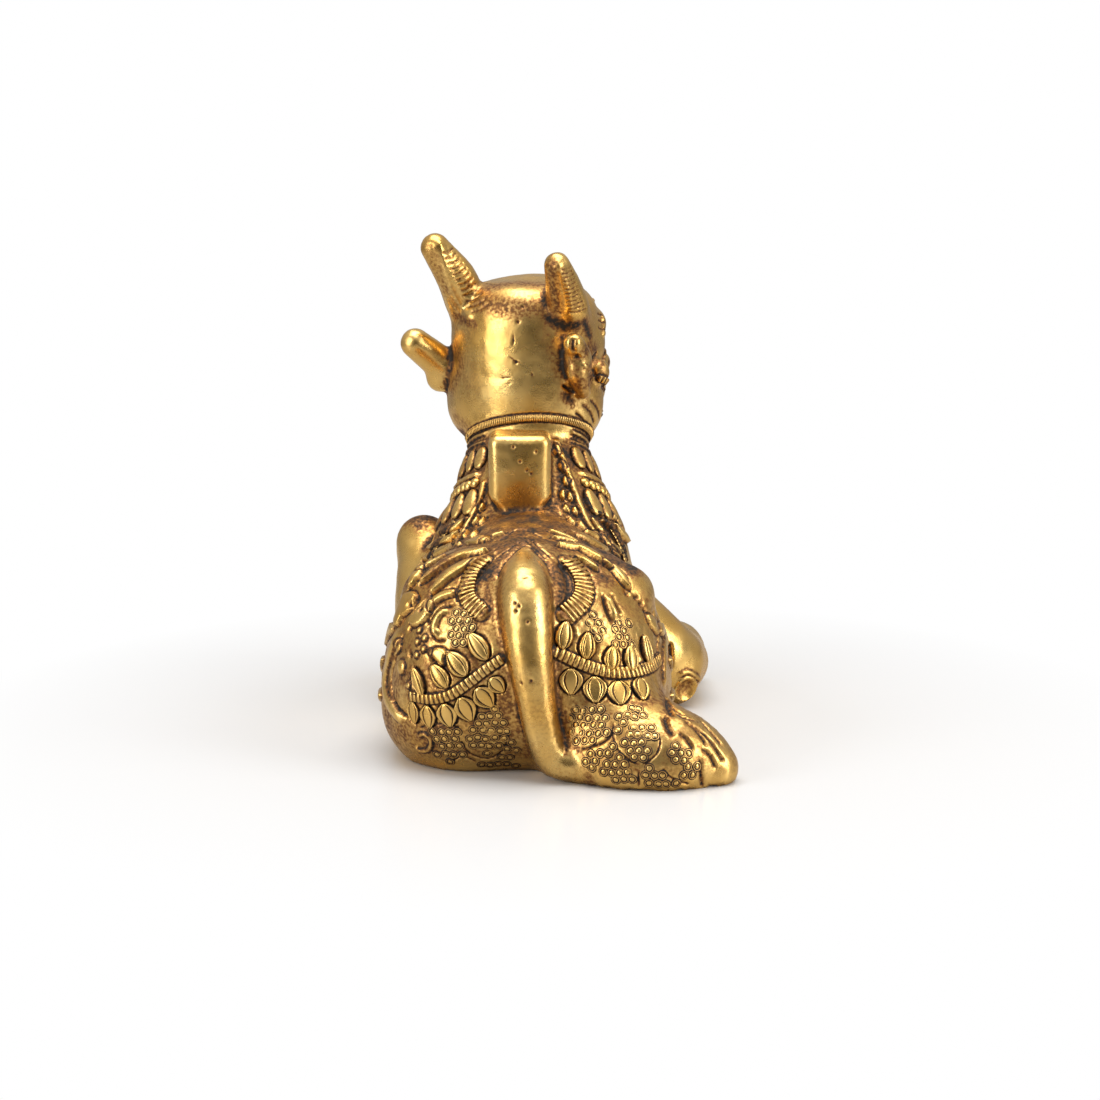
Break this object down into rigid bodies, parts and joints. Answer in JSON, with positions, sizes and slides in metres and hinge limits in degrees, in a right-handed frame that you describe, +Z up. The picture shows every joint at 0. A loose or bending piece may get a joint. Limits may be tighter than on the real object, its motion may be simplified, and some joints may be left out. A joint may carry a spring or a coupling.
{
  "type": "nandi statue",
  "caption": "Small cast brass bull lying down with one knee raised, its head turned, carved with garlands, rings and a fringed cloth.",
  "frame": {"origin": "centre of the part's box, on the flat underside that stands on the table", "axes": "+Z up, -Y towards the bull's face, +Y towards its tail, +X towards the bull's own left"},
  "size_m": [0.0744, 0.1226, 0.1066],
  "materials": {
    "brass": "polished yellow brass with red-brown and near-black patina left in the carving"
  },
  "bodies": {
    "root": {"nandi": "brass"}
  },
  "joints": []
}
